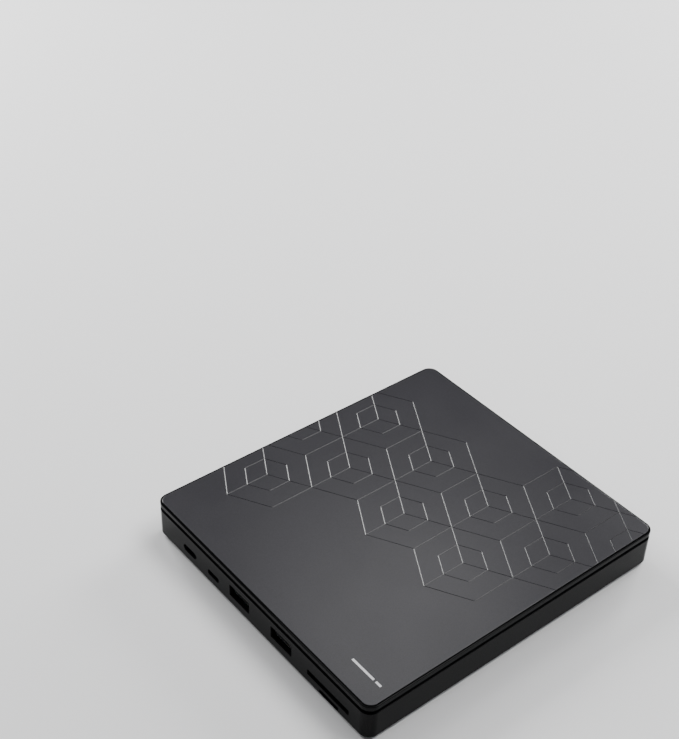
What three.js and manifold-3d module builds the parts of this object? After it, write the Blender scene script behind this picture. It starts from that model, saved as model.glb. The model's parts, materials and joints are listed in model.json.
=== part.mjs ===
// Slim external optical drive with a card reader and a USB hub.
// Millimetres, +Z up, origin on the desk under the middle of the case.
// The disc tray opens towards -Y and the sockets face +Y.
import * as THREE from 'three';
import { mergeVertices } from 'three/addons/utils/BufferGeometryUtils.js';
import Module from 'manifold-3d';

const wasm = await Module();
wasm.setup();

// ---------------------------------------------------------------- driving dimensions
const WIDTH = 145;
const DEPTH = 160;
const HEIGHT = 19;
const CORNER = 5;
const GAP = 0.3;
const REAR = DEPTH / 2;
const FRONT = -DEPTH / 2;

const FOOT = { height: 1, radius: 5, sunk: 0.5, x: 58, y: 64 };
const WALL = 1.9;
const FLOOR_TOP = 2.6;
const CASE_TOP = 14.8;
const LIP = { inset: 1, top: 16.2 };
const COVER = { bottom: 16.5, top: 18.7, rim: 0.6, recess: 17.4 };
const SKIRT = { bottom: 14, thickness: 1 };
const PANEL_BOTTOM = 17.7;
const SCREW = { x: 67.4, y: 70, head: 1.9, shank: 0.9, post: 2.6, split: 6, top: 11 };

const DRIVE = { half: 64, front: -75.5, rear: 53, bottom: 2.9, sheet: 0.4, side: 0.6, top: 12.6 };
const SHIELD = { bottom: 12.9, top: 13.3 };
const BEZEL = { width: 128.4, height: 9.8, z: 8.5, back: -77.3, corner: 1.2 };
const BUTTON = { x: 50, z: 8, width: 11.4, height: 2.2 };
const LAMP = { x: 38, z: 8, width: 3, height: 1 };
const RELEASE_HOLE = { x: 30, radius: 0.8 };

const SPINDLE_Y = -14;
const SLED_ANGLE = -Math.PI / 4;
const DISC_WELL = { radius: 60.8, floor: 8.4, small_radius: 40.5, small_floor: 7.9 };
const TRAY = { half: 59.6, front: -77, rear: 47.5, bottom: 7.2, top: 11.6, skirt: 4.4, wall: 1.7 };
const GROOVE = { depth: 0.8, bottom: 6.1, top: 7.7 };
const ROD = { radius: 0.7, z: 6.1, start: 14.2, end: 65.1, rows: [-11.5, 14.2] };
const LEAD = { radius: 0.8, row: -14.6, start: 13.2, end: 64.8 };
const PLATE = { bottom: 3.9, top: 4.5 };
const SLED = { middle: 23, half: 5.5, bottom: 4.8, top: 7.9, arm_top: 7.4 };
const DAMPERS = [[-11, 13.5], [-11, -14.5], [40, 18.6]];
const ROTOR = { radius: 13, bottom: 7, seat: 9.1, hub: 7.3, top: 10.9, shaft: 1.2 };
const LATCH = { x: -50.2, y: -50, released: Math.PI / 10, post_x: -54.5, post_y: -66 };
const PLUNGER = { x: 40, z: 5.3, radius: 1.05, front: 30, rear: 44 };

const BOARD = { bottom: 4.1, top: 5.1, front: 56, rear: 77.4, half: 64 };
const SOCKET_MOUTH = 77.7;
const USB_A = { width: 12.5, height: 5.12, wall: 0.5, z: 8.75, depth: 14, xs: [10.2, -18.35] };
const MICRO_USB = { width: 6.9, height: 1.9, wall: 0.3, x: 29, z: 6.7, depth: 6, corner: 0.5 };
const USB_C = { width: 8.4, height: 2.6, wall: 0.3, x: 46.5, z: 7.1, depth: 7.2, corner: 1.3 };
const SD_SLOT = { x: -48.35, z: 6.9, width: 25.5, height: 2.4, body: 28.5, front: 57 };
const TF_SLOT = { x: -49.15, z: 2.75, width: 11.3, height: 1.7, body: 14.3, front: 62 };
const SATA = { x: -8.5, width: 33 };

// ---------------------------------------------------------------- materials
function material(color, roughness, metalness = 0) {
  return new THREE.MeshStandardMaterial({ color, roughness, metalness });
}

const gloss = material('#141416', 0.12);
const satin = material('#5b5a5e', 0.42);
const plastic = material('#1b1b1d', 0.5);
const moulded = material('#242528', 0.6);
const rubber = material('#0f0f10', 0.9);
const steel = material('#b9bcc0', 0.35, 1);
const polished = material('#d9dbde', 0.15, 1);
const laminate = material('#14502f', 0.45);
const chip = material('#18181a', 0.55);
const ribbon = material('#c8a25a', 0.5);
const glass = material('#7fa6c8', 0.05);
const lamp = material('#9fd7ff', 0.2);

// ---------------------------------------------------------------- geometry helpers
function rectangle(width, height, radius = 0, x = 0, y = 0) {
  const shape = new THREE.Shape();
  const right = x + width / 2;
  const top = y + height / 2;
  const left = x - width / 2;
  const bottom = y - height / 2;
  if (radius === 0) {
    shape.moveTo(left, bottom).lineTo(right, bottom).lineTo(right, top).lineTo(left, top);
    return shape;
  }
  shape.absarc(right - radius, bottom + radius, radius, -Math.PI / 2, 0);
  shape.absarc(right - radius, top - radius, radius, 0, Math.PI / 2);
  shape.absarc(left + radius, top - radius, radius, Math.PI / 2, Math.PI);
  shape.absarc(left + radius, bottom + radius, radius, Math.PI, Math.PI * 1.5);
  return shape;
}

function outline(points) {
  return new THREE.Shape(points.map(([x, y]) => new THREE.Vector2(x, y)));
}

// A shape drawn in X and Y, standing between two heights.
function slab(shape, [low, high], curveSegments = 6) {
  const options = { depth: high - low, bevelEnabled: false, curveSegments };
  return new THREE.ExtrudeGeometry(shape, options).translate(0, 0, low);
}

// A shape drawn in X and Z, running along Y.
function alongY(shape, [near, far], curveSegments = 4) {
  return slab(shape, [-far, -near], curveSegments).rotateX(Math.PI / 2);
}

function block([left, right], [near, far], [low, high]) {
  const geometry = new THREE.BoxGeometry(right - left, far - near, high - low);
  return geometry.translate((left + right) / 2, (near + far) / 2, (low + high) / 2);
}

function disc(radius, [low, high], x = 0, y = 0, sides = 24) {
  const geometry = new THREE.CylinderGeometry(radius, radius, high - low, sides);
  return geometry.rotateX(Math.PI / 2).translate(x, y, (low + high) / 2);
}

function rodAlongX(radius, [start, end], y, z, sides = 12) {
  const geometry = new THREE.CylinderGeometry(radius, radius, end - start, sides);
  return geometry.rotateZ(Math.PI / 2).translate((start + end) / 2, y, z);
}

function rodAlongY(radius, [start, end], x, z, sides = 12) {
  return new THREE.CylinderGeometry(radius, radius, end - start, sides).translate(x, (start + end) / 2, z);
}

// A profile of [radius, height] pairs turned about Z.
function turned(profile, sides = 32) {
  const points = profile.map(([radius, height]) => new THREE.Vector2(radius, height));
  return new THREE.LatheGeometry(points, sides).rotateX(Math.PI / 2);
}

function toManifold(geometry) {
  const bare = geometry.clone();
  bare.deleteAttribute('normal');
  bare.deleteAttribute('uv');
  const merged = mergeVertices(bare, 1e-4);
  const vertProperties = Float32Array.from(merged.attributes.position.array);
  const triVerts = Uint32Array.from(merged.index.array);
  return new wasm.Manifold(new wasm.Mesh({ numProp: 3, vertProperties, triVerts }));
}

function toGeometry(manifold) {
  const { vertProperties, triVerts } = manifold.getMesh();
  const geometry = new THREE.BufferGeometry();
  geometry.setAttribute('position', new THREE.BufferAttribute(Float32Array.from(vertProperties), 3));
  geometry.setIndex(new THREE.BufferAttribute(Uint32Array.from(triVerts), 1));
  geometry.computeVertexNormals();
  return geometry;
}

function join(...pieces) {
  return toGeometry(pieces.map(toManifold).reduce((whole, piece) => whole.add(piece)));
}

function cut(body, ...tools) {
  return toGeometry(tools.map(toManifold).reduce((rest, tool) => rest.subtract(tool), toManifold(body)));
}

// Four places, mirrored over both middle planes.
function corners(x, y) {
  return [[-x, -y], [x, -y], [-x, y], [x, y]];
}

const drive = new THREE.Group();

function add(name, geometry, look, parent = drive) {
  const mesh = new THREE.Mesh(geometry, look);
  mesh.name = name;
  parent.add(mesh);
  return mesh;
}

function plan(inset) {
  return rectangle(WIDTH - 2 * inset, DEPTH - 2 * inset, CORNER - inset);
}

// ---------------------------------------------------------------- case
// Wall openings on the socket side: a tight frame round each socket's mouth.
function socketHoles() {
  const margin = 0.45;
  const holes = [SD_SLOT, TF_SLOT].map((slot) => ({ ...slot, radius: 0.3 }));
  for (const x of USB_A.xs) {
    holes.push({ x, z: USB_A.z, width: 13.4, height: 5.6, radius: 0.3 });
  }
  for (const port of [MICRO_USB, USB_C]) {
    const radius = port.corner + margin;
    holes.push({ x: port.x, z: port.z, width: port.width + 2 * margin, height: port.height + margin, radius });
  }
  return holes.map(({ x, z, width, height, radius }) => {
    const round = Math.min(radius, height / 2 - 0.01);
    return alongY(rectangle(width, height, round, x, z), [REAR - WALL - 1, REAR + 1]);
  });
}

function caseShell() {
  const wall = slab(plan(0), [FOOT.height, CASE_TOP]);
  const lip = slab(plan(LIP.inset), [CASE_TOP - 1, LIP.top]);
  const hollow = slab(plan(WALL), [FLOOR_TOP, LIP.top + 1]);
  return cut(join(wall, lip), hollow);
}

// Screw posts, board standoffs and the ribs that locate the drive.
function caseRibs() {
  const root = FLOOR_TOP - 0.4;
  const posts = corners(SCREW.x, SCREW.y).map(([x, y]) => disc(SCREW.post, [root, SCREW.split], x, y, 16));
  const standoffs = [-28, 24, 58].map((x) => disc(2, [root, BOARD.bottom - GAP], x, 70, 12));
  const ribs = [];
  for (const side of [-1, 1]) {
    const span = [DRIVE.half + GAP, WIDTH / 2 - WALL + 0.2].map((x) => side * x).sort((a, b) => a - b);
    for (const y of [-40, 0, 40]) {
      ribs.push(block(span, [y - 0.6, y + 0.6], [root, 8]));
    }
  }
  return [...posts, ...standoffs, ...ribs];
}

function bottomCase() {
  const tools = socketHoles();
  const half = BEZEL.width / 2 + GAP;
  const mouth = [BEZEL.z - BEZEL.height / 2 - GAP, BEZEL.z + BEZEL.height / 2 + GAP];
  tools.push(block([-half, half], [FRONT - 1, FRONT + WALL + 1], mouth));
  for (const [x, y] of corners(SCREW.x, SCREW.y)) {
    tools.push(disc(SCREW.head + GAP, [FOOT.height - 1, FOOT.height + 1.4], x, y, 16));
    tools.push(disc(SCREW.shank + GAP, [FOOT.height, SCREW.split + 1], x, y, 12));
  }
  for (const [x, y] of corners(FOOT.x, FOOT.y)) {
    tools.push(disc(FOOT.radius + GAP, [0, FOOT.height + FOOT.sunk], x, y, 32));
  }
  const reach = TF_SLOT.body / 2 + GAP;
  const floor = TF_SLOT.z - TF_SLOT.height / 2 - 0.1;
  tools.push(block([TF_SLOT.x - reach, TF_SLOT.x + reach], [TF_SLOT.front - GAP, REAR - WALL + 0.1], [floor, 3]));
  return cut(join(caseShell(), ...caseRibs()), ...tools);
}

function topCover() {
  const lid = slab(plan(0), [COVER.bottom, COVER.top]);
  const recess = slab(plan(COVER.rim), [COVER.recess, COVER.top + 1]);
  const inset = WALL + GAP;
  const skirt = slab(plan(inset), [SKIRT.bottom, COVER.bottom + 0.2]);
  const inside = slab(plan(inset + SKIRT.thickness), [SKIRT.bottom - 1, COVER.bottom]);
  const posts = corners(SCREW.x, SCREW.y).map(([x, y]) => {
    return disc(SCREW.post, [SCREW.split + GAP, COVER.bottom + 0.2], x, y, 16);
  });
  const bores = corners(SCREW.x, SCREW.y).map(([x, y]) => {
    return disc(SCREW.shank + GAP, [SCREW.split, SCREW.top + 1], x, y, 12);
  });
  return cut(join(cut(skirt, inside), cut(lid, recess), ...posts), ...bores);
}

function caseScrew() {
  const base = FOOT.height + 0.15;
  const seat = FOOT.height + 1.1;
  const { head, shank, top } = SCREW;
  const body = turned([[0, base], [head, base], [head, seat], [shank, seat], [shank, top], [0, top]], 16);
  const arm = block([-1.2, 1.2], [-0.25, 0.25], [base - 1, base + 0.5]);
  return cut(body, arm, arm.clone().rotateZ(Math.PI / 2));
}

function foot() {
  const { radius, height, sunk } = FOOT;
  const top = height + sunk - GAP;
  return turned([[0, 0], [radius - 0.4, 0], [radius, 0.4], [radius, top], [0, top]]);
}

function addCase() {
  add('bottom_case', bottomCase(), gloss);
  add('top_cover', topCover(), gloss);
  add('top_panel', slab(plan(COVER.rim + GAP), [PANEL_BOTTOM, HEIGHT]), satin);
  corners(FOOT.x, FOOT.y).forEach(([x, y], i) => add(`foot_${i + 1}`, foot(), rubber).position.set(x, y, 0));
  corners(SCREW.x, SCREW.y).forEach(([x, y], i) => {
    add(`case_screw_${i + 1}`, caseScrew(), steel).position.set(x, y, 0);
  });
}

// ---------------------------------------------------------------- drive chassis
function drivePan() {
  const { half, front, rear, bottom, sheet, side, top } = DRIVE;
  const floor = bottom + sheet;
  const outer = block([-half, half], [front, rear], [bottom, top]);
  const inner = block([side - half, half - side], [front - 1, rear - side], [floor, top + 1]);
  const reach = SATA.width / 2 + GAP;
  const slot = block([SATA.x - reach, SATA.x + reach], [rear - 1, rear + 1], [5, 8.6]);
  const post = disc(0.9, [bottom, 6.6], LATCH.post_x, LATCH.post_y, 12);
  return join(cut(outer, inner, slot), post);
}

// A C-shaped channel on the pan's wall that holds a slide rail.
function railGuide(side) {
  const section = [
    [63.1, 4.7], [63.1, 9.1], [60.6, 9.1], [60.6, 8.5], [62.2, 8.5], [62.2, 5.3], [60.6, 5.3], [60.6, 4.7],
  ];
  return alongY(outline(section.map(([x, z]) => [side * x, z])), [-75, 50]);
}

// A rail whose inner rib runs in the tray's groove.
function slideRail(side) {
  const section = [
    [61.9, 5.6], [61.9, 8.2], [60.3, 8.2], [60.3, 7.4], [59.1, 7.4], [59.1, 6.4], [60.3, 6.4], [60.3, 5.6],
  ];
  return alongY(outline(section.map(([x, z]) => [side * x, z])), [-70, 50]);
}

function plungerGuide() {
  const { x, z, radius } = PLUNGER;
  const body = block([x - 4, x + 4], [40, 50], [DRIVE.bottom + DRIVE.sheet + GAP, TRAY.bottom - GAP]);
  return cut(body, rodAlongY(radius + GAP, [39, 51], x, z));
}

function ejectPlunger() {
  const { x, z, radius, front, rear } = PLUNGER;
  const head = rodAlongY(1.5, [front, front + 1.2], x, z, 16);
  return join(head, rodAlongY(radius, [front + 0.5, rear], x, z));
}

function addChassis() {
  const { half, front, rear } = DRIVE;
  add('drive_pan', drivePan(), steel);
  add('drive_shield', block([-half, half], [front, rear], [SHIELD.bottom, SHIELD.top]), steel);
  for (const [word, side] of [['left', -1], ['right', 1]]) {
    add(`rail_guide_${word}`, railGuide(side), moulded);
    add(`slide_rail_${word}`, slideRail(side), steel);
  }
  add('plunger_guide', plungerGuide(), moulded);
  add('eject_plunger', ejectPlunger(), plastic);
  add('drive_board', block([-44, 12], [48.2, 52], [4, 5]), laminate);
  const half_plug = SATA.width / 2;
  add('sata_plug', block([SATA.x - half_plug, SATA.x + half_plug], [48.6, 55], [5.3, 8.3]), plastic);
}

// ---------------------------------------------------------------- tray
function inTraverse(geometry) {
  return geometry.rotateZ(SLED_ANGLE).translate(0, SPINDLE_Y, 0);
}

function traverseWindow() {
  const heights = [TRAY.bottom - 0.3, DISC_WELL.floor + 1];
  return [inTraverse(block([0, 65.8], [-17, 16], heights)), inTraverse(disc(14.5, heights, 0, 0, 32))];
}

function traySkirt() {
  const { half, front, rear, skirt, wall, bottom } = TRAY;
  const top = bottom + 0.2;
  const pieces = [block([-half, half], [front, front + 1.6], [skirt, top])];
  for (const side of [-1, 1]) {
    const span = [side * half, side * (half - wall)].sort((a, b) => a - b);
    pieces.push(block(span, [front, rear], [skirt, top]));
  }
  return pieces;
}

function trayFittings() {
  const top = TRAY.bottom + 0.2;
  const pin = disc(1, [3.9, top], LATCH.x, LATCH.y, 12);
  const stop = block([PLUNGER.x - 2, PLUNGER.x + 2], [PLUNGER.front - 1.5, PLUNGER.front - GAP], [4.2, top]);
  const studs = DAMPERS.map(([u, v]) => inTraverse(disc(0.7, [4.9, top], u, v, 10)));
  return [pin, stop, ...studs];
}

function discTray() {
  const { half, front, rear, bottom, top } = TRAY;
  const deck = slab(rectangle(2 * half, rear - front, 2, 0, (rear + front) / 2), [bottom, top], 4);
  const grooves = [-1, 1].map((side) => {
    const span = [side * (half - GROOVE.depth), side * (half + 1)].sort((a, b) => a - b);
    return block(span, [front - 1, rear + 1], [GROOVE.bottom, GROOVE.top]);
  });
  const pocket = block([BUTTON.x - 7, BUTTON.x + 7], [front - 1, front + 1.8], [BUTTON.z - 2, BUTTON.z + 2]);
  return cut(
    join(deck, ...traySkirt(), ...trayFittings()),
    disc(DISC_WELL.radius, [DISC_WELL.floor, top + 1], 0, SPINDLE_Y, 72),
    disc(DISC_WELL.small_radius, [DISC_WELL.small_floor, top], 0, SPINDLE_Y, 48),
    ...traverseWindow(),
    ...grooves,
    pocket,
  );
}

function trayBezel() {
  const face = alongY(rectangle(BEZEL.width, BEZEL.height, BEZEL.corner, 0, BEZEL.z), [FRONT, BEZEL.back]);
  const through = [FRONT - 1, BEZEL.back + 1];
  const button = rectangle(BUTTON.width + 0.6, BUTTON.height + 0.6, 1.3, BUTTON.x, BUTTON.z);
  const light = rectangle(LAMP.width + 0.6, LAMP.height + 0.6, 0.7, LAMP.x, LAMP.z);
  const release = rodAlongY(RELEASE_HOLE.radius, through, RELEASE_HOLE.x, BUTTON.z);
  return cut(face, alongY(button, through), alongY(light, through), release);
}

function ejectButton() {
  const cap = alongY(rectangle(BUTTON.width, BUTTON.height, 1, BUTTON.x, BUTTON.z), [FRONT + 0.3, TRAY.front + 0.1]);
  const flange = rectangle(BUTTON.width + 1.8, BUTTON.height + 1.2, 1, BUTTON.x, BUTTON.z);
  return join(cap, alongY(flange, [TRAY.front, TRAY.front + 0.6]));
}

function latchHook() {
  const heights = [4, 5];
  const arm = block([-1.2, 1.2], [-14.4, 0], heights);
  const hook = block([-5.8, 1], [-14.4, -12.7], heights);
  const eye = disc(2.6, heights, 0, 0, 20);
  return cut(join(arm, hook, eye), disc(1 + GAP, [3, 6], 0, 0, 16));
}

function latchSolenoid() {
  return join(block([-42, -30], [-73.5, -63.5], [3.8, 6.8]), block([-45, -41], [-69.6, -67.4], [4.6, 6]));
}

function addTray() {
  add('disc_tray', discTray(), plastic);
  add('tray_bezel', trayBezel(), gloss);
  add('eject_button', ejectButton(), gloss);
  const pane = rectangle(LAMP.width, LAMP.height, 0.45, LAMP.x, LAMP.z);
  add('activity_lens', alongY(pane, [FRONT + 0.2, BEZEL.back - 0.1]), lamp);
  add('main_board', block([-43, -18], [-60, -22], [5.2, 6.2]), laminate);
  add('main_chip', block([-31, -19], [-50, -38], [4, 4.9]), chip);
  add('latch_solenoid', latchSolenoid(), steel);
  const hook = add('latch_hook', latchHook(), plastic);
  hook.position.set(LATCH.x, LATCH.y, 0);
  hook.rotation.z = LATCH.released;
}

// ---------------------------------------------------------------- traverse unit
// Its own frame: the spindle is the origin and the pickup travels along +X.
const traverse = new THREE.Group();
traverse.position.y = SPINDLE_Y;
traverse.rotation.z = SLED_ANGLE;
drive.add(traverse);

function bracket(start, row) {
  return block([start, start + 1.5], [row - 1.5, row + 1.5], [PLATE.top - 0.2, SLED.arm_top]);
}

function traverseFrame() {
  const rows = [LEAD.row, ...ROD.rows];
  const sheet = slab(rectangle(80.5, 33.8, 3, 25.25, -1.1), [PLATE.bottom, PLATE.top], 4);
  const ear = disc(3.2, [PLATE.bottom, PLATE.top], ...DAMPERS[2], 16);
  const brackets = rows.flatMap((row) => [bracket(ROD.start - 0.3, row), bracket(ROD.end - 1.2, row)]);
  const window = block([17, 60], [-8, 11], [PLATE.bottom - 1, PLATE.top + 0.1]);
  const motor = block([-0.9, 13.3], [-17.8, -11.4], [PLATE.bottom - 1, PLATE.top + 0.1]);
  const bores = rows.map((row) => rodAlongX(LEAD.radius + GAP, [10, 67], row, ROD.z));
  return cut(join(sheet, ear, ...brackets), window, motor, ...bores);
}

function turntable() {
  const { radius, bottom, seat, hub, top, shaft } = ROTOR;
  const profile = [
    [0, 5.1], [shaft, 5.1], [shaft, bottom], [radius, bottom], [radius, seat],
    [9, seat], [8.6, seat - 0.4], [hub, seat - 0.4], [hub, top - 0.6], [hub - 0.7, top], [0, top],
  ];
  const slots = [0, 1, 2].map((i) => block([4.2, 9], [-1.3, 1.3], [9.3, 10.6]).rotateZ((i * Math.PI * 2) / 3));
  return cut(turned(profile, 48), ...slots);
}

// A wedge that grips the rim of the disc's hole.
function chuckClaw() {
  const profile = outline([[4.9, 9.6], [7.2, 9.6], [7.7, 9.95], [7, 10.3], [4.9, 10.3]]);
  return alongY(profile, [-1, 1]);
}

function pickupSled() {
  const { middle, half, bottom, top, arm_top } = SLED;
  const span = [middle - half, middle + half];
  const grip = [middle - 4.5, middle + 4.5];
  const body = block(span, [-9.5, 12], [bottom, top]);
  const left = block(grip, [-13.3, -9], [bottom, arm_top]);
  const right = block(grip, [11, 15.7], [bottom, arm_top]);
  const nut = block([middle - 1.5, middle + 1.5], [-16.2, -13], [bottom, arm_top]);
  const bores = ROD.rows.map((row) => rodAlongX(ROD.radius + GAP, [10, 40], row, ROD.z));
  bores.push(rodAlongX(LEAD.radius + GAP, [10, 40], LEAD.row, ROD.z));
  const pocket = block([middle - 4, middle + 4], [-4.5, 4.5], [7, top + 1]);
  return cut(join(body, left, right, nut), ...bores, pocket);
}

function lensHolder() {
  const { middle } = SLED;
  return cut(block([middle - 3.7, middle + 3.7], [-4.2, 4.2], [7.3, 8.4]), disc(2.3, [7, 9], middle, 0));
}

function addTraverse() {
  add('traverse_frame', traverseFrame(), steel, traverse);
  DAMPERS.forEach(([u, v], i) => {
    const ring = turned([[1, 4.8], [2.2, 4.8], [2.2, 6.9], [1, 6.9], [1, 4.8]], 16);
    add(`damper_${i + 1}`, ring, rubber, traverse).position.set(u, v, 0);
  });
  const stator = turned([[1.5, 4.8], [10, 4.8], [10, 6.2], [9.4, 6.5], [1.5, 6.5], [1.5, 4.8]]);
  add('spindle_motor', stator, steel, traverse);
  add('turntable', turntable(), plastic, traverse);
  for (let i = 0; i < 3; i += 1) {
    add(`chuck_claw_${i + 1}`, chuckClaw(), moulded, traverse).rotation.z = (i * Math.PI * 2) / 3;
  }
  ROD.rows.forEach((row, i) => {
    add(`guide_rod_${i + 1}`, rodAlongX(ROD.radius, [ROD.start, ROD.end], row, ROD.z), polished, traverse);
  });
  add('lead_screw', rodAlongX(LEAD.radius, [LEAD.start, LEAD.end], LEAD.row, ROD.z), polished, traverse);
  add('sled_motor', block([-0.5, 12.9], [-17.4, -11.8], [PLATE.bottom, 6.8]), steel, traverse);
  add('pickup_sled', pickupSled(), moulded, traverse);
  add('lens_holder', lensHolder(), plastic, traverse);
  const dome = turned([[0, 7.6], [2, 7.6], [2, 8.3], [1.4, 8.6], [0.7, 8.7], [0, 8.72]], 20);
  add('objective_lens', dome, glass, traverse).position.x = SLED.middle;
}

// ---------------------------------------------------------------- hub board and sockets
function shell({ x, z, width, height, wall, depth }, corner) {
  const sleeve = rectangle(width + 2 * wall, height + 2 * wall, corner + wall, x, z);
  const mouth = rectangle(width, height, corner, x, z);
  const rear = SOCKET_MOUTH - depth;
  return cut(alongY(sleeve, [rear, SOCKET_MOUTH]), alongY(mouth, [rear + 0.8, SOCKET_MOUTH + 1]));
}

function cardSocket(slot, [low, high], clearance) {
  const half = slot.body / 2;
  const mouth = slot.width / 2 - 0.1;
  const body = block([slot.x - half, slot.x + half], [slot.front, SOCKET_MOUTH - 0.1], [low, high]);
  const cavity = [low + clearance, high - clearance];
  return cut(body, block([slot.x - mouth, slot.x + mouth], [slot.front + 1, SOCKET_MOUTH + 1], cavity));
}

// The ribbon that joins the tray's board to the fixed board.
function flexCable() {
  const run = block([-41, -33], [-40, 47.9], [3.6, 3.9]);
  return join(run, block([-41, -33], [-40, -39.7], [3.6, 4.9]));
}

function addHub() {
  const { half, front, rear, bottom, top } = BOARD;
  const seat = top + GAP;
  add('hub_board', block([-half, half], [front, rear], [bottom, top]), laminate);
  add('hub_chip', block([-7.7, -0.7], [63.5, 70.5], [seat, 6.3]), chip);
  add('bridge_chip', block([26, 34], [58, 66], [seat, 6.4]), chip);
  const reach = SATA.width / 2 + 1;
  add('sata_socket', block([SATA.x - reach, SATA.x + reach], [55.3, 59.5], [seat, 8.6]), plastic);
  USB_A.xs.forEach((x, i) => {
    const tongue = block([x - 5.6, x + 5.6], [SOCKET_MOUTH - USB_A.depth + 1.1, 76.6], [8.7, 10.5]);
    add(`usb_a_shell_${i + 1}`, shell({ ...USB_A, x }, 0.3), steel);
    add(`usb_a_tongue_${i + 1}`, tongue, plastic);
  });
  add('micro_usb_shell', shell(MICRO_USB, MICRO_USB.corner), steel);
  add('usb_c_shell', shell(USB_C, USB_C.corner - 0.01), steel);
  const blade = block([USB_C.x - 3.3, USB_C.x + 3.3], [SOCKET_MOUTH - USB_C.depth + 1.1, 77], [6.75, 7.45]);
  add('usb_c_tongue', blade, plastic);
  add('sd_socket', cardSocket(SD_SLOT, [seat, 8.5], 0.35), steel);
  add('tf_socket', cardSocket(TF_SLOT, [2.3, BOARD.bottom - GAP], 0.25), steel);
  add('flex_cable', flexCable(), ribbon);
}

addCase();
addChassis();
addTray();
addTraverse();
addHub();

export default drive;
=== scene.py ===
import json
import math
import random

import bmesh
import bpy
from mathutils import Matrix, Vector


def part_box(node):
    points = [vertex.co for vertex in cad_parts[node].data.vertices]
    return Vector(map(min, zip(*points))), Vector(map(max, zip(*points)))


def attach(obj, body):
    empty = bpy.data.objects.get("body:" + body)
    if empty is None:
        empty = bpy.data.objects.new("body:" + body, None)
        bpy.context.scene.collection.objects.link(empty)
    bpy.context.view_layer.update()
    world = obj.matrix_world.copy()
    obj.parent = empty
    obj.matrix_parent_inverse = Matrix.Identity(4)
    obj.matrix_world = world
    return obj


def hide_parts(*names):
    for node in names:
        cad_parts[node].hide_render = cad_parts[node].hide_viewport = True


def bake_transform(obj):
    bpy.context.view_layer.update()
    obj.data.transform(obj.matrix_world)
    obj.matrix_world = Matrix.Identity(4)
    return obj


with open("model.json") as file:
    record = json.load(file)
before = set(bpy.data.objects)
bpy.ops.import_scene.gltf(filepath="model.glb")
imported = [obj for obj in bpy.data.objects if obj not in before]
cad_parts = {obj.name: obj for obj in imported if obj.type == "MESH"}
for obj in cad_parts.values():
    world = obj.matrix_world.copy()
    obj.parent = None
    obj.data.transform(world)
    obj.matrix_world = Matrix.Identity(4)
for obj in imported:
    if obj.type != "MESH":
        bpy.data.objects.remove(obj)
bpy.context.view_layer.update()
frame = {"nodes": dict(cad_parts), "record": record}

MM = 0.001
record = frame["record"]
BODY_OF = {node: body for body, nodes in record["behaviour"]["bodies"].items() for node in nodes}
SLOT_OF = {part["node"]: part["material_slot"] for part in record["subparts"]}


def box_mm(node):
    """A node's lowest and highest corners, in millimetres."""
    low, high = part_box(node)
    return [v / MM for v in low], [v / MM for v in high]


# ---------------------------------------------------------------- driving sizes, in millimetres
CASE_LOW, CASE_HIGH = box_mm("bottom_case")
PANEL_LOW, PANEL_HIGH = box_mm("top_panel")
COVER_TOP = box_mm("top_cover")[1][2]
BEZEL_LOW, BEZEL_HIGH = box_mm("tray_bezel")
WIDTH = CASE_HIGH[0] - CASE_LOW[0]
DEPTH = CASE_HIGH[1] - CASE_LOW[1]
REAR = CASE_HIGH[1]
FRONT = CASE_LOW[1]
CORNER = 5
WALL = 1.9
WALL_TOP = 14.8
FLOOR_TOP = 2.6
LIP = 1
COVER_BOTTOM = 16.5
RECESS = 17.4
RIM = 0.6
TOP = PANEL_HIGH[2]
SPINDLE_Y = -14
IN_TRAVERSE = Matrix.Translation((0, SPINDLE_Y * MM, 0)) @ Matrix.Rotation(-math.pi / 4, 4, "Z")


# ---------------------------------------------------------------- camera and studio
VIEW_AZIMUTH, VIEW_ELEVATION, VIEW_ROLL = (math.radians(a) for a in (230.18, 37.32, 1.88))
VIEW_AIM = Vector((0.0966, -0.0416, 0.019))
VIEW_DISTANCE = 0.6695


def make_camera():
    data = bpy.data.cameras.new("camera")
    data.lens = 66.56
    camera = bpy.data.objects.new("camera", data)
    bpy.context.collection.objects.link(camera)
    flat = math.cos(VIEW_ELEVATION)
    back = Vector((
        math.sin(VIEW_AZIMUTH) * flat,
        -math.cos(VIEW_AZIMUTH) * flat,
        math.sin(VIEW_ELEVATION),
    ))
    turn = (-back).to_track_quat("-Z", "Y").to_matrix().to_4x4()
    camera.matrix_world = (
        Matrix.Translation(VIEW_AIM + back * VIEW_DISTANCE) @ turn @ Matrix.Rotation(VIEW_ROLL, 4, "Z")
    )
    bpy.context.scene.camera = camera


def area_light(name, azimuth, elevation, distance, size, power):
    """A softbox that faces the drive from a bearing in the camera's own convention."""
    data = bpy.data.lights.new(name, "AREA")
    data.shape = "RECTANGLE"
    data.size, data.size_y = size
    data.energy = power
    light = bpy.data.objects.new(name, data)
    bpy.context.collection.objects.link(light)
    a, e = math.radians(azimuth), math.radians(elevation)
    back = Vector((math.sin(a) * math.cos(e), -math.cos(a) * math.cos(e), math.sin(e)))
    light.location = back * distance
    light.rotation_mode = "QUATERNION"
    light.rotation_quaternion = (-back).to_track_quat("-Z", "Y")


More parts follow.
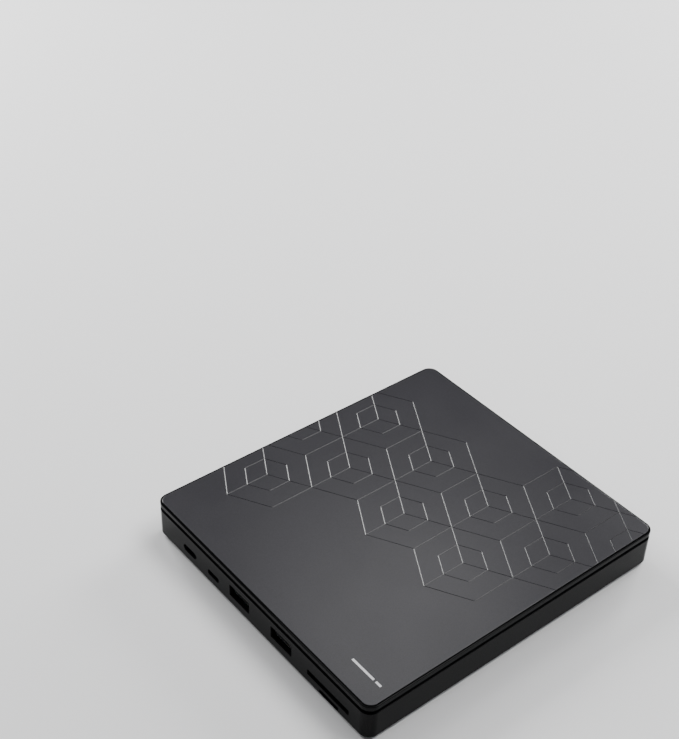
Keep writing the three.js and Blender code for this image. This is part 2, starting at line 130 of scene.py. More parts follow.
def make_studio():
    world = bpy.data.worlds.new("studio")
    world.use_nodes = True
    world.node_tree.nodes["Background"].inputs["Color"].default_value = (0.93, 0.95, 1.0, 1)
    world.node_tree.nodes["Background"].inputs["Strength"].default_value = 0.2
    bpy.context.scene.world = world
    bpy.ops.mesh.primitive_plane_add(size=6)
    floor = bpy.context.object
    floor.name = "floor"
    look = bpy.data.materials.new("floor")
    look.use_nodes = True
    shader = look.node_tree.nodes["Principled BSDF"]
    shader.inputs["Base Color"].default_value = (0.86, 0.86, 0.86, 1)
    shader.inputs["Roughness"].default_value = 0.7
    floor.data.materials.append(look)
    area_light("softbox_sheen", 47, 54, 0.64, (0.22, 0.2), 0.52)
    area_light("strip_right", 96, 27, 1.2, (0.65, 0.5), 18)
    area_light("strip_far", 12, 18, 1.3, (0.6, 0.4), 16)
    area_light("softbox_left", 334, 58, 1.2, (0.7, 0.6), 10)


# ---------------------------------------------------------------- material tools
class Look:
    """A material's node tree, built in a few readable calls."""

    def __init__(self, name, **values):
        self.material = bpy.data.materials.new(name)
        self.material.use_nodes = True
        self.tree = self.material.node_tree
        self.shader = self.tree.nodes["Principled BSDF"]
        for key, value in values.items():
            self.shader.inputs[key.replace("_", " ")].default_value = value
        self.place = self.add("ShaderNodeTexCoord").outputs["Object"]

    def add(self, kind, **inputs):
        node = self.tree.nodes.new(kind)
        for key, value in inputs.items():
            node.inputs[key].default_value = value
        return node

    def link(self, source, target):
        self.tree.links.new(source, target)

    def stretched(self, stretch, turn=0.0):
        mapping = self.add("ShaderNodeMapping", Scale=stretch, Rotation=(0, 0, turn))
        self.link(self.place, mapping.inputs["Vector"])
        return mapping.outputs["Vector"]

    def noise(self, scale, detail=2.0, stretch=None, turn=0.0):
        node = self.add("ShaderNodeTexNoise", Scale=scale, Detail=detail)
        self.link(self.stretched(stretch, turn) if stretch else self.place, node.inputs["Vector"])
        return node.outputs["Fac"]

    def grains(self, scale):
        node = self.add("ShaderNodeTexVoronoi", Scale=scale)
        self.link(self.place, node.inputs["Vector"])
        return node.outputs["Distance"]

    def spread(self, fac, low, high, start=0.3, end=0.7):
        node = self.add("ShaderNodeMapRange")
        for key, value in (("From Min", start), ("From Max", end), ("To Min", low), ("To Max", high)):
            node.inputs[key].default_value = value
        self.link(fac, node.inputs["Value"])
        return node.outputs["Result"]

    def blend_colours(self, fac, first, second):
        node = self.add("ShaderNodeMix")
        node.data_type = "RGBA"
        node.inputs[6].default_value = (*first, 1)
        node.inputs[7].default_value = (*second, 1)
        self.link(fac, node.inputs[0])
        return node.outputs[2]

    def colour(self, fac, first, second):
        self.link(self.blend_colours(fac, first, second), self.shader.inputs["Base Color"])

    def roughness(self, fac, low, high):
        self.link(self.spread(fac, low, high), self.shader.inputs["Roughness"])

    def bump(self, height, strength, distance):
        node = self.add("ShaderNodeBump", Strength=strength, Distance=distance)
        self.link(height, node.inputs["Height"])
        self.link(node.outputs["Normal"], self.shader.inputs["Normal"])


def gloss_black():
    look = Look("gloss_black", Specular_IOR_Level=0.06)
    look.colour(look.noise(35), (0.003, 0.003, 0.0034), (0.005, 0.005, 0.0054))
    look.roughness(look.noise(60, 6, (1, 6, 1), 0.4), 0.05, 0.12)
    look.bump(look.noise(90, 1), 0.02, 0.0001)
    return look.material


def satin_panel():
    """A fine speckled satin face. The cuts below it are smoother, and their darker base colour is
    painted shade.
    """
    look = Look("satin_panel", Specular_IOR_Level=0.4)
    speckle = look.noise(2600, 3)
    parts = look.add("ShaderNodeSeparateXYZ")
    look.link(look.place, parts.inputs["Vector"])
    face = look.spread(parts.outputs["Z"], 0, 1, (TOP - 0.03) * MM, (TOP - 0.01) * MM)
    tone = look.blend_colours(look.spread(speckle, 0, 1), (0.013, 0.0125, 0.015), (0.021, 0.020, 0.025))
    # painted shade: the cuts below the face get a darker base colour than the face
    cut = look.add("ShaderNodeMix")
    cut.data_type = "RGBA"
    cut.inputs[6].default_value = (0.008, 0.008, 0.009, 1)
    look.link(face, cut.inputs[0])
    look.link(tone, cut.inputs[7])
    look.link(cut.outputs[2], look.shader.inputs["Base Color"])
    worn = look.spread(look.noise(24, 4), 0.28, 0.34)
    blend = look.add("ShaderNodeMix")
    blend.inputs[2].default_value = 0.2
    look.link(face, blend.inputs[0])
    look.link(worn, blend.inputs[3])
    look.link(blend.outputs[0], look.shader.inputs["Roughness"])
    look.bump(speckle, 0.12, 0.00003)
    return look.material


def moulded(name, colour, rough, grain=1400):
    look = Look(name)
    deep = tuple(c * 0.75 for c in colour)
    look.colour(look.noise(180, 5), deep, colour)
    look.roughness(look.noise(400, 3), rough - 0.07, rough + 0.07)
    look.bump(look.grains(grain), 0.15, 0.00006)
    return look.material


def rubber():
    look = Look("rubber_black")
    look.colour(look.noise(300, 6), (0.012, 0.012, 0.012), (0.024, 0.024, 0.024))
    look.roughness(look.noise(700, 4), 0.75, 0.95)
    look.bump(look.noise(2200, 4), 0.35, 0.00008)
    return look.material


def metal(name, colour, rough, stretch=(1, 30, 1)):
    look = Look(name, Metallic=1.0)
    streaks = look.noise(420, 5, stretch)
    dull = tuple(c * 0.8 for c in colour)
    look.colour(look.spread(streaks, 0, 1), dull, colour)
    look.roughness(streaks, rough - 0.06, rough + 0.08)
    look.bump(streaks, 0.08, 0.00002)
    return look.material


def circuit_board():
    look = Look("circuit_board", Coat_Weight=0.4, Coat_Roughness=0.2)
    tracks = look.add("ShaderNodeTexBrick", Scale=160.0)
    tracks.inputs["Mortar Size"].default_value = 0.02
    look.link(look.place, tracks.inputs["Vector"])
    vias = look.grains(520)
    dots = look.spread(vias, 1, 0, 0.10, 0.14)
    base = look.blend_colours(tracks.outputs["Fac"], (0.006, 0.055, 0.022), (0.010, 0.100, 0.040))
    mixed = look.add("ShaderNodeMix")
    mixed.data_type = "RGBA"
    mixed.inputs[7].default_value = (0.55, 0.42, 0.16, 1)
    look.link(dots, mixed.inputs[0])
    look.link(base, mixed.inputs[6])
    look.link(mixed.outputs[2], look.shader.inputs["Base Color"])
    look.roughness(look.noise(200, 3), 0.3, 0.45)
    look.bump(tracks.outputs["Fac"], 0.25, 0.00005)
    return look.material


def flex_ribbon():
    look = Look("flex_ribbon")
    wave = look.add("ShaderNodeTexWave", Scale=260.0)
    look.link(look.place, wave.inputs["Vector"])
    look.colour(look.spread(wave.outputs["Fac"], 0, 1), (0.20, 0.09, 0.015), (0.40, 0.20, 0.045))
    look.roughness(look.noise(150, 3), 0.28, 0.4)
    look.bump(wave.outputs["Fac"], 0.3, 0.00004)
    return look.material


def lens_glass():
    look = Look("lens_glass", Transmission_Weight=0.9, Coat_Weight=1.0, Coat_Roughness=0.01)
    look.colour(look.noise(900, 2), (0.25, 0.35, 0.75), (0.45, 0.30, 0.65))
    look.roughness(look.noise(900, 2), 0.01, 0.05)
    return look.material


def lamp_lens():
    look = Look("lamp_lens", Transmission_Weight=0.4)
    look.colour(look.noise(500, 2), (0.55, 0.65, 0.75), (0.75, 0.85, 0.92))
    look.roughness(look.noise(900, 2), 0.15, 0.3)
    return look.material


def printed_mark():
    look = Look("printed_mark")
    look.colour(look.noise(3000, 3), (0.52, 0.52, 0.53), (0.68, 0.68, 0.69))
    look.roughness(look.noise(2000, 3), 0.35, 0.5)
    return look.material


def gold_contact():
    look = Look("gold_contact", Metallic=1.0)
    look.colour(look.noise(1500, 3), (0.62, 0.42, 0.13), (0.78, 0.56, 0.22))
    look.roughness(look.noise(1500, 3), 0.2, 0.35)
    return look.material


def make_looks():
    return {
        "gloss_black": gloss_black(),
        "satin_panel": satin_panel(),
        "black_plastic": moulded("black_plastic", (0.022, 0.022, 0.024), 0.5),
        "grey_plastic": moulded("grey_plastic", (0.055, 0.056, 0.060), 0.55),
        "rubber_black": rubber(),
        "sheet_steel": metal("sheet_steel", (0.60, 0.61, 0.62), 0.32),
        "polished_steel": metal("polished_steel", (0.72, 0.73, 0.74), 0.16, (1, 1, 1)),
        "circuit_board": circuit_board(),
        "chip_black": moulded("chip_black", (0.018, 0.018, 0.019), 0.6, 2600),
        "flex_ribbon": flex_ribbon(),
        "lens_glass": lens_glass(),
        "lamp_lens": lamp_lens(),
        "printed_mark": printed_mark(),
        "gold_contact": gold_contact(),
    }


# ---------------------------------------------------------------- mesh tools, in millimetres
ON_AXIS = 1e-5
SLIVER = 1e-6  # metres


def mesh_object(name, points, faces):
    mesh = bpy.data.meshes.new(name)
    mesh.from_pydata([Vector(point) * MM for point in points], [], faces)
    built = bmesh.new()
    built.from_mesh(mesh)
    bmesh.ops.remove_doubles(built, verts=built.verts, dist=1e-7)
    bmesh.ops.recalc_face_normals(built, faces=built.faces)
    built.to_mesh(mesh)
    built.free()
    obj = bpy.data.objects.new(name, mesh)
    bpy.context.collection.objects.link(obj)
    return obj


def loft(name, rings, closed=False):
    """A skin over rings of equal length. It is capped at both ends, or joined end to end."""
    count = len(rings[0])
    points = [point for ring in rings for point in ring]
    faces = []
    for level in range(len(rings) if closed else len(rings) - 1):
        low = level * count
        high = (level + 1) % len(rings) * count
        for i in range(count):
            j = (i + 1) % count
            faces.append((low + i, low + j, high + j, high + i))
    if not closed:
        faces.append(tuple(reversed(range(count))))
        faces.append(tuple(range(len(points) - count, len(points))))
    return mesh_object(name, points, faces)


def rounded(width, height, radius, steps=8):
    """Points round a rectangle with round corners, anticlockwise from the lower right."""
    points = []
    across, up = width / 2 - radius, height / 2 - radius
    for quarter, (cx, cy) in enumerate(((across, -up), (across, up), (-across, up), (-across, -up))):
        for i in range(steps + 1):
            a = math.radians(90 * (quarter - 1 + i / steps))
            points.append((cx + radius * math.cos(a), cy + radius * math.sin(a)))
    return points


def plan_ring(inset, z):
    outline = rounded(WIDTH - 2 * inset, DEPTH - 2 * inset, CORNER - inset, 14)
    return [(x, y, z) for x, y in outline]


def wall_ring(x, z, width, height, radius, y, steps=6):
    return [(x + u, y, z + v) for u, v in rounded(width, height, radius, steps)]


def deck_ring(x, y, width, depth, radius, z, steps=6):
    return [(x + u, y + v, z) for u, v in rounded(width, depth, radius, steps)]


def circle(radius, z, x=0.0, y=0.0, sides=48):
    turn = 2 * math.pi / sides
    return [(x + radius * math.cos(i * turn), y + radius * math.sin(i * turn), z) for i in range(sides)]


def fillet(inset, z, radius, start, end, steps=5):
    """Stations of a round edge in a profile of (inset, height), about a centre, in degrees."""
    turns = [math.radians(start + (end - start) * i / steps) for i in range(steps + 1)]
    return [(inset + radius * math.cos(a), z + radius * math.sin(a)) for a in turns]


def turned(name, profile, x=0.0, y=0.0, sides=64, closed=False):
    """A profile of (radius, height) turned about an upright axis."""
    return loft(name, [circle(max(r, ON_AXIS), z, x, y, sides) for r, z in profile], closed)


def block(name, low, high):
    (x0, y0, z0), (x1, y1, z1) = low, high
    return loft(name, [[(x0, y0, z), (x1, y0, z), (x1, y1, z), (x0, y1, z)] for z in (z0, z1)])


def drop(obj):
    bpy.data.objects.remove(obj, do_unlink=True)


def settle(obj):
    """Applies an object's modifiers."""
    graph = bpy.context.evaluated_depsgraph_get()
    mesh = bpy.data.meshes.new_from_object(obj.evaluated_get(graph))
    obj.modifiers.clear()
    obj.data = mesh


def combine(obj, tools, operation="DIFFERENCE"):
    """Cuts or joins other solids, which are then gone."""
    for tool in tools:
        modifier = obj.modifiers.new("combine", "BOOLEAN")
        modifier.operation = operation
        modifier.solver = "MANIFOLD"
        modifier.object = tool
    settle(obj)
    for tool in tools:
        drop(tool)
    built = bmesh.new()
    built.from_mesh(obj.data)
    bmesh.ops.dissolve_degenerate(built, dist=SLIVER, edges=built.edges)
    built.to_mesh(obj.data)
    built.free()
    return obj


def joined(name, objects):
    """One object from several, with no boolean."""
    built = bmesh.new()
    for obj in objects:
        built.from_mesh(obj.data)
        drop(obj)
    mesh = bpy.data.meshes.new(name)
    built.to_mesh(mesh)
    built.free()
    whole = bpy.data.objects.new(name, mesh)
    bpy.context.collection.objects.link(whole)
    return whole


def smooth(obj, angle=32):
    obj.data.shade_smooth()
    obj.data.set_sharp_from_angle(angle=math.radians(angle))
    obj.modifiers.new("normals", "WEIGHTED_NORMAL").keep_sharp = True
    return obj


def dress(obj, slot):
    obj.data.materials.clear()
    obj.data.materials.append(looks[slot])


replaced = {"flex_cable"}


def stand_for(obj, node):
    """Puts a finer piece in the place of a CAD node, on its body and in its finish."""
    replaced.add(node)
    dress(obj, SLOT_OF[node])
    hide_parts(node)
    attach(obj, BODY_OF[node])
    return obj


def fit_out(obj, body, look):
    """A piece that no CAD node has."""
    dress(obj, look)
    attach(obj, body)
    return obj


# ---------------------------------------------------------------- engraved panel
CELL = 21.5  # from a cell's middle to its corners
COLUMN = CELL * math.sqrt(3)
ROW = CELL * 1.5
INNER_CELL = 0.5  # of the cell's size
BAND_MIDDLE = -17
BAND_SLOPE = 1 / 3
BAND_REACH = 36
GROOVE_WIDTH = 0.3
GROOVE_DEPTH = 0.09
PANEL_EDGE = 0.3
MARK_Y = REAR - 11.2
MARK_HALF = 0.5
MARK_SPANS = ((-66.3, -63.3), (-62.1, -49.3))
MARK_DEPTH = 0.05


def cell_lines(middle):
    """A hexagon, a smaller one inside it and three spokes, which read as a cube in a cube."""
    turns = [i * math.pi / 3 for i in range(6)]
    corners = [Vector((math.sin(a), math.cos(a))) * CELL for a in turns]
    lines = [(middle, middle + corner) for corner in corners[::2]]
    for i, corner in enumerate(corners):
        after = corners[(i + 1) % 6]
        lines.append((middle + corner, middle + after))
        lines.append((middle + corner * INNER_CELL, middle + after * INNER_CELL))
    return lines


def panel_lines():
    """A plain honeycomb in a slanting band across the panel. Cells share the lines between them."""
    lines = {}
    for row in range(-2, 3):
        for column in range(-2, 3):
            middle = Vector(((column + row % 2 / 2) * COLUMN, row * ROW))
            if abs(middle.y - BAND_MIDDLE - middle.x * BAND_SLOPE) > BAND_REACH:
                continue
            for start, end in cell_lines(middle):
                place = tuple(round(v, 2) for v in (start + end) / 2)
                lines[place] = (start, end)
    return lines.values()


def groove(start, end):
    """A V-shaped bar along a line, its sharp edge down in the panel."""
    along = (end - start).normalized()
    across = Vector((-along.y, along.x)) * GROOVE_WIDTH
    tip = along * GROOVE_WIDTH / 4
    rings = []
    for point in (start - tip, end + tip):
        low = (*point, TOP - GROOVE_DEPTH)
        left = (*(point + across), TOP + GROOVE_DEPTH)
        right = (*(point - across), TOP + GROOVE_DEPTH)
        rings.append([low, left, right])
    return loft("groove", rings)


def mark_shapes(low, high, grow=0.0):
    """Two plain bars near the rear left corner."""
    front, rear = MARK_Y - MARK_HALF - grow, MARK_Y + MARK_HALF + grow
    return [block("bar", (x0 - grow, front, low), (x1 + grow, rear, high)) for x0, x1 in MARK_SPANS]


def top_panel():
    """The panel, with its lines cut in and the mark inlaid just below its face."""
    gap = CASE_HIGH[0] - PANEL_HIGH[0]
    stations = [(gap, PANEL_LOW[2])]
    stations += fillet(gap + PANEL_EDGE, TOP - PANEL_EDGE, PANEL_EDGE, 180, 90)
    panel = loft("engraved_panel", [plan_ring(inset, z) for inset, z in stations])
    combine(panel, [groove(start, end) for start, end in panel_lines()])
    combine(panel, mark_shapes(TOP - MARK_DEPTH, TOP + 0.1, 0.02))
    stand_for(smooth(panel, 20), "top_panel")
    mark = joined("panel_mark", mark_shapes(TOP - MARK_DEPTH + 0.005, TOP - 0.01))
    fit_out(smooth(mark), "case", "printed_mark")


# ---------------------------------------------------------------- case
USB_A_X = (10.2, -18.35)
MICRO_USB_X = 29
USB_C_X = 46.5
# Openings in the socket wall: x, z, width, height, corner.
MOUTHS = [(x, 8.75, 13.4, 5.6, 0.3) for x in USB_A_X] + [
    (MICRO_USB_X, 6.7, 7.8, 2.35, 0.95),
    (USB_C_X, 7.1, 9.3, 3.05, 1.5),
    (-48.35, 6.9, 25.5, 2.4, 0.3),
    (-49.15, 2.75, 11.3, 1.7, 0.3),
]
BEZEL_OPENING = (0, 8.5, 129, 10.4, 0.4)
CARD_RECESS = ((-56.6, 61.7, 1.8), (-41.7, REAR - WALL + 0.1, 3))
CHAMFER = 0.25
BREAK = 0.1
BASE_EDGE = 0.8
COVER_EDGE = 0.3
SKIRT_BOTTOM, SKIRT_OUTSIDE, SKIRT_INSIDE = 14, 2.2, 3.2
OVERLAP = 0.4  # how far the posts and ribs are sunk in the floor that they stand on
SCREWS = [(x, y) for x in (-67.4, 67.4) for y in (-70, 70)]
STANDOFFS = [(x, 70) for x in (-28, 24, 58)]
RIBS_Y = (-40, 0, 40)
RIB_NEAR, RIB_FAR, RIB_TOP = 64.3, 70.8, 8
FEET = [(x, y) for x in (-58, 58) for y in (-64, 64)]


def wall_tool(x, z, width, height, radius, inside, face, lead):
    """A cutter through a wall, wider at the face so that the edge gets a chamfer."""
    out = 1 if face > inside else -1
    wide = (width + 4 * lead, height + 4 * lead, radius + 2 * lead)
    rings = [
        wall_ring(x, z, width, height, radius, inside),
        wall_ring(x, z, width, height, radius, face - out * lead),
        wall_ring(x, z, *wide, face + out * lead),
    ]
    return loft("wall_tool", rings)


def case_posts():
    """Screw posts, board standoffs and the ribs beside the drive."""
    root = FLOOR_TOP - OVERLAP
    post = [(0, root), (2.6, root), (2.6, 5.8), (2.4, 6), (0, 6)]
    standoff = [(0, root), (2, root), (2, 3.8), (0, 3.8)]
    added = [turned("post", post, x, y, 32) for x, y in SCREWS]
    added += [turned("standoff", standoff, x, y, 32) for x, y in STANDOFFS]
    for side in (-1, 1):
        near, far = sorted((side * RIB_NEAR, side * RIB_FAR))
        added += [block("rib", (near, y - 0.6, root), (far, y + 0.6, RIB_TOP)) for y in RIBS_Y]
    return added


def case_cutters():
    """The mouths in the walls, and the screw and foot recesses in the floor."""
    tools = [wall_tool(*mouth, REAR - WALL - 1, REAR, CHAMFER) for mouth in MOUTHS]
    tools.append(wall_tool(*BEZEL_OPENING, FRONT + WALL + 1, FRONT, CHAMFER))
    counterbore = [(0, 0), (2.5, 0), (2.5, 0.9), (2.2, 1.2), (2.2, 2.4), (0, 2.4)]
    bore = [(0, 0), (1.2, 0), (1.2, 7), (0, 7)]
    recess = [(0, 0), (5.6, 0), (5.6, 0.9), (5.3, 1.2), (5.3, 1.5), (0, 1.5)]
    for x, y in SCREWS:
        tools.append(turned("counterbore", counterbore, x, y, 40))
        tools.append(turned("bore", bore, x, y, 32))
    tools += [turned("recess", recess, x, y) for x, y in FEET]
    tools.append(block("card_recess", *CARD_RECESS))
    return tools


def bottom_case():
    lip_top = CASE_HIGH[2]
    stations = fillet(BASE_EDGE, CASE_LOW[2] + BASE_EDGE, BASE_EDGE, 270, 180)
    stations += fillet(CHAMFER, WALL_TOP - CHAMFER, CHAMFER, 180, 90)
    stations += [(LIP, WALL_TOP), (LIP, lip_top - BREAK), (LIP + BREAK, lip_top)]
    stations += [(WALL - BREAK, lip_top), (WALL, lip_top - BREAK)]
    stations += [(WALL, FLOOR_TOP + 0.3), (WALL + 0.3, FLOOR_TOP)]
    shell = loft("case_shell", [plan_ring(inset, z) for inset, z in stations])
    combine(shell, case_posts(), "UNION")
    combine(shell, case_cutters())
    stand_for(smooth(shell), "bottom_case")


def top_cover():
    inner, outer, skirt = SKIRT_INSIDE, SKIRT_OUTSIDE, SKIRT_BOTTOM
    stations = [(inner, COVER_BOTTOM), (inner, skirt + BREAK), (inner - BREAK, skirt)]
    stations += [(outer + BREAK, skirt), (outer, skirt + BREAK), (outer, COVER_BOTTOM)]
    stations += [(0.2, COVER_BOTTOM), (0, COVER_BOTTOM + 0.2)]
    stations += fillet(COVER_EDGE, COVER_TOP - COVER_EDGE, COVER_EDGE, 180, 90)
    stations += [(RIM - 0.08, COVER_TOP), (RIM, COVER_TOP - 0.08), (RIM, RECESS)]
    cover = loft("cover_shell", [plan_ring(inset, z) for inset, z in stations])
    post_top = COVER_BOTTOM + 0.2
    section = [(1.2, 6.3), (2.4, 6.3), (2.6, 6.5), (2.6, post_top), (1.2, post_top)]
    posts = [turned("post", section, x, y, 32, closed=True) for x, y in SCREWS]
    combine(cover, posts, "UNION")
    stand_for(smooth(cover), "top_cover")


def feet():
    profile = [(0, 0.3), (3.3, 0.3), (3.5, 0.08), (3.7, 0), (4.6, 0), (4.88, 0.12), (5, 0.4)]
    profile += [(5, 1.2), (0, 1.2)]
    for i in range(len(FEET)):
        low, high = box_mm(f"foot_{i + 1}")
        foot = turned(f"ridged_foot_{i + 1}", profile, (low[0] + high[0]) / 2, (low[1] + high[1]) / 2)
        stand_for(smooth(foot), f"foot_{i + 1}")


def case_screws():
    profile = [(0, 1.15), (1.6, 1.15), (1.8, 1.22), (1.9, 1.4), (1.9, 2.1), (0.9, 2.1)]
    profile += [(0.9, 10.6), (0.6, 11), (0, 11)]
    for i in range(len(SCREWS)):
        low, high = box_mm(f"case_screw_{i + 1}")
        x, y = (low[0] + high[0]) / 2, (low[1] + high[1]) / 2
        screw = turned(f"turned_screw_{i + 1}", profile, x, y, 40)
        arms = []
        for long, wide in ((1.15, 0.22), (0.22, 1.15)):
            rings = [deck_ring(x, y, 2 * long, 2 * wide, 0.1, z, 2) for z in (1.0, 1.3)]
            rings.append(deck_ring(x, y, 1.2 * long, 1.6 * wide, 0.05, 1.75, 2))
            arms.append(loft("arm", rings))
        stand_for(smooth(combine(screw, arms)), f"case_screw_{i + 1}")


# ---------------------------------------------------------------- tray front
BUTTON_X, LAMP_X, RELEASE_X = 50, 38, 30
FITTINGS_Z = 8


def tray_bezel():
    height = BEZEL_HIGH[2] - BEZEL_LOW[2]
    width = BEZEL_HIGH[0] - BEZEL_LOW[0]
    middle = (BEZEL_HIGH[2] + BEZEL_LOW[2]) / 2
    back = BEZEL_HIGH[1]
    stations = [(0.1, back), (0, back - 0.1)] + fillet(0.5, FRONT + 0.5, 0.5, 180, 270)
    rings = [wall_ring(0, middle, width - 2 * d, height - 2 * d, 1.2 - d, y) for d, y in stations]
    face = loft("bezel_face", rings)
    tools = [
        wall_tool(BUTTON_X, FITTINGS_Z, 12, 2.8, 1.3, back + 1, FRONT, 0.2),
        wall_tool(LAMP_X, FITTINGS_Z, 3.6, 1.6, 0.7, back + 1, FRONT, 0.12),
        wall_tool(RELEASE_X, FITTINGS_Z, 1.6, 1.6, 0.79, back + 1, FRONT, 0.15),
    ]
    stand_for(smooth(combine(face, tools)), "tray_bezel")


def eject_button():
    """A cap with a slightly dished face, on a flange that keeps it in the bezel."""
    low, high = box_mm("eject_button")
    place = (BUTTON_X, FITTINGS_Z)
    stations = [(0, high[1] - 0.4)] + fillet(0.35, low[1] + 0.35, 0.35, 180, 270)
    stations += [(0.7, low[1] + 0.06)]
    rings = [wall_ring(*place, 11.4 - 2 * d, 2.2 - 2 * d, 1 - d, y) for d, y in stations]
    cap = loft("button_cap", rings)
    flange = loft("flange", [wall_ring(*place, 13.2, 3.4, 1, y) for y in (high[1], high[1] - 0.6)])
    stand_for(smooth(combine(cap, [flange], "UNION")), "eject_button")


def activity_lens():
    low, high = box_mm("activity_lens")
    stations = [(0, high[1])] + fillet(0.2, low[1] + 0.2, 0.2, 180, 270)
    sizes = [(3 - 2 * d, 1 - 2 * d, 0.45 - d, y) for d, y in stations]
    pane = loft("lamp_pane", [wall_ring(LAMP_X, FITTINGS_Z, *size) for size in sizes])
    stand_for(smooth(pane), "activity_lens")


# ---------------------------------------------------------------- disc tray
DECK_BOTTOM = 7.2
IN_DECK = DECK_BOTTOM + 0.3  # where what hangs below the deck ends, inside it
TRAY_SIDE, TRAY_WALL, TRAY_SKIRT_BOTTOM = 59.6, 1.7, 4.4
LATCH_PIN = (-50.2, -50)
DAMPERS = ((-11, 13.5), (-11, -14.5), (40, 18.6))
WELL_RADIUS, WELL_FLOOR, WELL_CORNER = 60.8, 8.4, 0.5
SMALL_RADIUS, SMALL_FLOOR = 40.5, 7.9
BELOW_DECK, ABOVE_FLOOR = 6.9, 9.4
STOP = ((38, 28.5, 4.2), (42, 29.7, IN_DECK))
WINDOW = (32.9, -0.5, 65.8, 33, 2)
SPINDLE_HOLE_RADIUS = 14.5
RAIL_GROOVE_Y, RAIL_GROOVE_Z = (-78, 48.5), (6.1, 7.7)
RAIL_GROOVE_DEPTH = 0.8
POCKET_HALF, POCKET_Y, POCKET_Z = 7, (-78, -75.2), (6, 10)


def in_traverse(obj):
    """Takes a piece from the pickup's own frame, which runs along +X, to its place in the drive."""
    obj.data.transform(IN_TRAVERSE)
    return obj


def tray_deck():
    low, high = box_mm("disc_tray")
    width, depth, middle = high[0] - low[0], high[1] - low[1], (high[1] + low[1]) / 2
    stations = [(0.2, DECK_BOTTOM), (0, DECK_BOTTOM + 0.2)] + fillet(0.4, high[2] - 0.4, 0.4, 180, 90)
    rings = [deck_ring(0, middle, width - 2 * d, depth - 2 * d, 2 - d, z) for d, z in stations]
    deck = loft("tray_deck", rings)
    front_skirt = ((-TRAY_SIDE, low[1], TRAY_SKIRT_BOTTOM), (TRAY_SIDE, low[1] + 1.6, IN_DECK))
    added = [block("skirt", *front_skirt)]
    for side in (-1, 1):
        near, far = sorted((side * TRAY_SIDE, side * (TRAY_SIDE - TRAY_WALL)))
        added.append(block("skirt", (near, low[1], TRAY_SKIRT_BOTTOM), (far, high[1], IN_DECK)))
    pin = [(0, 3.9), (1, 3.9), (1, IN_DECK), (0, IN_DECK)]
    stud = [(0, 4.9), (0.7, 4.9), (0.7, IN_DECK), (0, IN_DECK)]
    added.append(turned("pin", pin, *LATCH_PIN, 32))
    added.append(block("stop", *STOP))
    added += [in_traverse(turned("stud", stud, u, v, 24)) for u, v in DAMPERS]
    return combine(deck, added, "UNION")


def disc_wells():
    """The well for a full-size disc, and the lower one inside it for a small disc."""
    corner = fillet(WELL_RADIUS - WELL_CORNER, WELL_FLOOR + WELL_CORNER, WELL_CORNER, 270, 360)
    well = [(0, WELL_FLOOR)] + corner
    well += [(WELL_RADIUS, 11.2), (WELL_RADIUS + 0.3, 11.5), (WELL_RADIUS + 0.3, 13), (0, 13)]
    floor, radius = SMALL_FLOOR, SMALL_RADIUS
    small = [(0, floor), (radius - 0.3, floor), (radius, floor + 0.3), (radius, floor + 0.4)]
    small += [(radius + 0.25, floor + 0.65), (0, floor + 0.65)]
    return [turned("well", well, 0, SPINDLE_Y, 160), turned("small_well", small, 0, SPINDLE_Y, 120)]


def disc_tray():
    deck = tray_deck()
    tools = disc_wells()
    through = (BELOW_DECK, ABOVE_FLOOR)
    tools.append(in_traverse(loft("window", [deck_ring(*WINDOW, z) for z in through])))
    hole = [circle(SPINDLE_HOLE_RADIUS, z, sides=64) for z in through]
    tools.append(in_traverse(loft("spindle_hole", hole)))
    for side in (-1, 1):
        near, far = sorted((side * (TRAY_SIDE - RAIL_GROOVE_DEPTH), side * (TRAY_SIDE + 1)))
        tools.append(block("rail_groove", *zip((near, far), RAIL_GROOVE_Y, RAIL_GROOVE_Z)))
    pocket_x = (BUTTON_X - POCKET_HALF, BUTTON_X + POCKET_HALF)
    tools.append(block("button_pocket", *zip(pocket_x, POCKET_Y, POCKET_Z)))
    for tool in tools:
        combine(deck, [tool])
    stand_for(smooth(deck), "disc_tray")


def turntable():
    """The rotor with slots for its three claws, and its rubber pad."""
    profile = [(0, 5.1), (1.2, 5.1), (1.2, 7), (12.8, 7), (13, 7.2), (13, 8.9), (12.8, 9.1), (12.6, 9.1)]
    profile += [(12.6, 8.95), (9.2, 8.95), (9.2, 9.1), (9, 9.1), (8.6, 8.7), (7.45, 8.7), (7.3, 8.85)]
    profile += [(7.3, 10.3), (7.2, 10.45), (6.7, 10.85), (6.5, 10.9), (3.2, 10.9), (3, 10.75)]
    profile += [(2.9, 10.3), (0, 10.3)]
    rotor = turned("rotor", profile, 0, 0, 96)
    for i in range(3):
        slot = block("slot", (4.2, -1.3, 9.3), (9, 1.3, 10.6))
        slot.data.transform(Matrix.Rotation(i * 2 * math.pi / 3, 4, "Z"))
        combine(rotor, [slot])
    stand_for(smooth(in_traverse(rotor)), "turntable")
    section = [(9.3, 8.98), (12.5, 8.98), (12.5, 9.3), (12.3, 9.4), (9.5, 9.4), (9.3, 9.3)]
    pad = turned("turntable_pad", section, 0, 0, 96, closed=True)
    fit_out(smooth(in_traverse(pad)), "spindle", "rubber_black")


# ---------------------------------------------------------------- traverse unit
# u runs along the pickup's travel and v across it, both from the spindle. ROD_Z and FILM are heights.
ROD_Z = 6.1
ROD_ROWS = (-11.5, 14.2)
LEAD_ROW = -14.6
LEAD_START, LEAD_LENGTH, LEAD_PITCH = 13.2, 51.6, 3
LENS_U = 23
LENS_RADIUS = 2
FILM = (3.78, 3.88)


def bar(name, stations, row, sides=32):
    """A round bar along the pickup's travel, from (distance, radius) stations."""
    turn = 2 * math.pi / sides
    rings = []
    for u, r in stations:
        ring = [(r * math.cos(i * turn), r * math.sin(i * turn)) for i in range(sides)]
        rings.append([(u, row + v, ROD_Z + z) for v, z in ring])
    return in_traverse(loft(name, rings))


